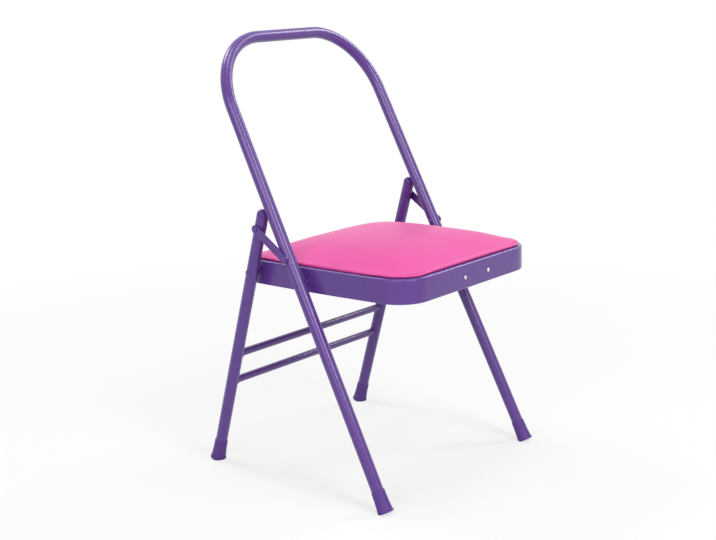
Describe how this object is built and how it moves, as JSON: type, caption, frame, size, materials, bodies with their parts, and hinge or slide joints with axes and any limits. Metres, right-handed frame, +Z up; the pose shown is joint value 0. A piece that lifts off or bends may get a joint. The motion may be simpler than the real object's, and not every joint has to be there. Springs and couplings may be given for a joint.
{
  "type": "backless yoga chair",
  "caption": "Folding tubular steel yoga chair with no backrest panel: bent tube hoop, straight rear legs with braces, padded seat in a pressed steel rim and strap links.",
  "frame": {"origin": "on the floor, under the middle of the chair's overall box, with the chair open and standing on its four feet", "axes": "+Z up, +Y from the front of the seat to the rear legs, +X to the right as seen from the front"},
  "size_m": [0.4776, 0.4552, 0.8],
  "materials": {
    "purple_coat": "gloss",
    "purple_plastic": "satin",
    "bright_zinc": "satin",
    "pink_vinyl": "satin",
    "foam": "matte",
    "plywood": "matte"
  },
  "bodies": {
    "front_frame": {"front_hoop": "purple_coat", "front_foot_tip_left": "purple_plastic", "front_foot_tip_right": "purple_plastic", "link_hoop_rivet_left": "purple_coat", "link_hoop_rivet_right": "purple_coat", "seat_front_rivet_left": "purple_coat", "seat_front_rivet_right": "purple_coat"},
    "seat": {"seat_rim": "purple_coat", "seat_board": "plywood", "seat_foam": "foam", "seat_cover": "pink_vinyl", "front_bracket": "purple_coat", "bracket_rivet_left": "bright_zinc", "bracket_rivet_right": "bright_zinc", "board_screw_front_left": "bright_zinc", "board_screw_front_right": "bright_zinc", "board_screw_rear_left": "bright_zinc", "board_screw_rear_right": "bright_zinc", "seat_front_spacer_left": "purple_coat", "seat_front_spacer_right": "purple_coat", "seat_rear_spacer_left": "purple_coat", "seat_rear_spacer_right": "purple_coat"},
    "rear_frame": {"rear_leg_left": "purple_coat", "rear_leg_right": "purple_coat", "leg_end_plug_left": "purple_plastic", "leg_end_plug_right": "purple_plastic", "upper_brace": "purple_coat", "lower_brace": "purple_coat", "rear_foot_tip_left": "purple_plastic", "rear_foot_tip_right": "purple_plastic", "link_leg_pin_left": "purple_coat", "link_leg_pin_right": "purple_coat", "seat_rear_rivet_left": "purple_coat", "seat_rear_rivet_right": "purple_coat"},
    "left_link": {"link_left": "purple_coat", "link_leg_rivet_left": "purple_coat"},
    "right_link": {"link_right": "purple_coat", "link_leg_rivet_right": "purple_coat"}
  },
  "joints": [
    {"name": "seat_fold", "type": "hinge", "parent": "front_frame", "child": "seat", "pos_m": [0, -0.00382, 0.37571], "axis": [-1, 0, 0], "range_deg": [0, 98]},
    {"name": "leg_fold", "type": "hinge", "parent": "seat", "child": "rear_frame", "pos_m": [0, 0.10954, 0.38104], "axis": [1, 0, 0], "range_deg": [0, 52.1]},
    {"name": "left_link_fold", "type": "hinge", "parent": "front_frame", "child": "left_link", "pos_m": [-0.2288, 0.01842, 0.41825], "axis": [-1, 0, 0], "range_deg": [0, 116.1]},
    {"name": "right_link_fold", "type": "hinge", "parent": "front_frame", "child": "right_link", "pos_m": [0.2288, 0.01842, 0.41825], "axis": [-1, 0, 0], "range_deg": [0, 116.1]}
  ],
  "couplings": [
    {"joint": "leg_fold", "follows": "seat_fold", "ratio": 0.531},
    {"joint": "left_link_fold", "follows": "seat_fold", "ratio": 1.1837},
    {"joint": "right_link_fold", "follows": "seat_fold", "ratio": 1.1837}
  ]
}
